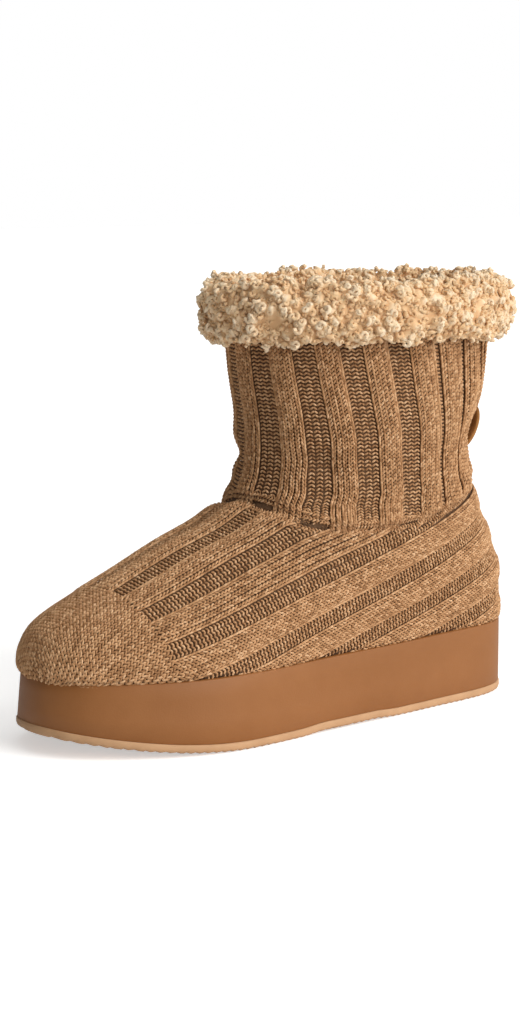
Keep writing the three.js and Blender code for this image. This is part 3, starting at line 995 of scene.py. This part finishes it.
# Suede, brushed on its face: golden brown with a short nap that clouds where it is rubbed.
suede, tree, where = new_material("brushed_suede")
nap = add(tree, "TexNoise", {"Vector": where, "Scale": 2200.0})
rubbed = add(tree, "TexNoise", {"Vector": where, "Scale": 220.0, "Detail": 4.0, "Roughness": 0.6})
bump = add(tree, "Bump", {"Height": nap, "Strength": 0.5, "Distance": 0.0002})
add(tree, "OutputMaterial", {"Surface": add(tree, "BsdfPrincipled", {
    "Base Color": ramp(tree, rubbed, [(0.3, "#7C5126"), (0.5, "#946435"), (0.7, "#A87745")]),
    "Normal": bump, "Roughness": 0.92, "Specular IOR Level": 0.2,
    "Sheen Weight": 0.4, "Sheen Roughness": 0.4, "Sheen Tint": linear("#DDB585")})})

bend = np.linspace(-math.pi / 2, math.pi / 2, 33)
loop_middle = (LOOP_LOW + LOOP_HIGH) / 2
loop_rise = (LOOP_HIGH - LOOP_LOW - LOOP_THICK) / 2
path_z = loop_middle + loop_rise * np.sin(bend) + LOOP_DROOP * np.cos(bend) ** 2
path_y = level(2, path_z) + 0.6 + (LOOP_REACH - LOOP_THICK / 2) * np.cos(bend) ** 0.8
path_y = np.concatenate([[path_y[0] - 3.6, path_y[0] - 1.8], path_y, [path_y[-1] - 1.8, path_y[-1] - 3.6]])
path_z = np.concatenate([[path_z[0]] * 2, path_z, [path_z[-1]] * 2])
along_path = np.stack([np.gradient(path_y), np.gradient(path_z)], -1)
along_path /= np.linalg.norm(along_path, axis=-1, keepdims=True)
turn = -np.linspace(0, 2 * math.pi, 28, endpoint=False)
edge_x = np.sign(np.cos(turn)) * np.abs(np.cos(turn)) ** 0.22 * LOOP_WIDTH / 2
edge_n = np.sign(np.sin(turn)) * np.abs(np.sin(turn)) ** 0.55 * LOOP_THICK / 2
strap = []
for y, z, (ahead_y, ahead_z) in zip(path_y, path_z, along_path):
    strap.append(np.stack([edge_x, y + edge_n * ahead_z, z - edge_n * ahead_y], -1))
faces = stack_faces(len(strap), len(turn))
faces.append(tuple(range(len(turn))))
faces.append(tuple((len(strap) - 1) * len(turn) + i for i in range(len(turn)))[::-1])
pull_loop = as_object("pull_loop_strap", np.concatenate(strap), faces, suede)
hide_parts("pull_loop")
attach(pull_loop, "root")

# ------------------------------
# Floor, light and camera.
white, tree, _ = new_material("pale_floor")
seen = add(tree, "LightPath").outputs["Is Camera Ray"]
shine = add(tree, "Math", {0: seen, 1: 0.45, 2: 0.04}, operation="MULTIPLY_ADD")
add(tree, "OutputMaterial", {"Surface": add(tree, "BsdfPrincipled", {
    "Base Color": linear("#F4F3F1"), "Roughness": 0.9, "Emission Color": linear("#FFFFFF"),
    "Emission Strength": shine})})
corners = [(x * 6000, y * 6000, 0) for x, y in ((-1, -1), (1, -1), (1, 1), (-1, 1))]
floor = as_object("floor", corners, [(0, 1, 2, 3)], white)

# A plain white studio: the room is seen as white, and lights the boot softly, less from the toe
# side, with one broad light from the heel side and one from above.
world = bpy.data.worlds.new("soft_room")
bpy.context.scene.world = world
bpy.context.scene.view_settings.view_transform = "Standard"
world.use_nodes = True
tree = world.node_tree
tree.nodes.clear()
towards = add(tree, "TexCoord").outputs["Generated"]
from_heel = add(tree, "VectorMath", {0: towards, 1: (0.62, 0.8, 0.2)}, operation="DOT_PRODUCT")
fill = add(tree, "MapRange", {
    "Value": from_heel.outputs["Value"], "From Min": -0.7, "From Max": 0.8, "To Min": 0.04, "To Max": 0.68})
seen = add(tree, "LightPath").outputs["Is Camera Ray"]
strength = add(tree, "Mix", {0: seen, 2: fill, 3: 1.0})
sky = add(tree, "Background", {"Color": linear("#FFFFFF"), "Strength": strength})
add(tree, "OutputWorld", {"Surface": sky})


def broad_light(name, heading, height, strength, spread):
    """A distant soft light that shines down from a compass heading, in degrees from the toe."""
    lamp = bpy.data.lights.new(name, "SUN")
    lamp.energy = strength
    lamp.angle = math.radians(spread)
    in_scene(name, lamp).rotation_euler = (math.radians(90 - height), 0, math.radians(heading))


broad_light("light_from_heel_side", 108, 28, 2.15, 50)
broad_light("light_from_above", 120, 70, 0.45, 60)

AZIMUTH = math.radians(52.05)
ELEVATION = math.radians(8.10)
DISTANCE = 1.200
TARGET = (-0.00357, -0.0057, 0.09608)
FOCAL = 90.61875
camera = in_scene("camera", bpy.data.cameras.new("camera"))
camera.location = (
    TARGET[0] + DISTANCE * math.cos(ELEVATION) * math.sin(AZIMUTH),
    TARGET[1] - DISTANCE * math.cos(ELEVATION) * math.cos(AZIMUTH),
    TARGET[2] + DISTANCE * math.sin(ELEVATION))
camera.rotation_euler = (math.pi / 2 - ELEVATION, 0, AZIMUTH)
camera.data.lens = FOCAL
camera.data.sensor_width = 36
camera.data.clip_start = 0.01
bpy.context.scene.camera = camera
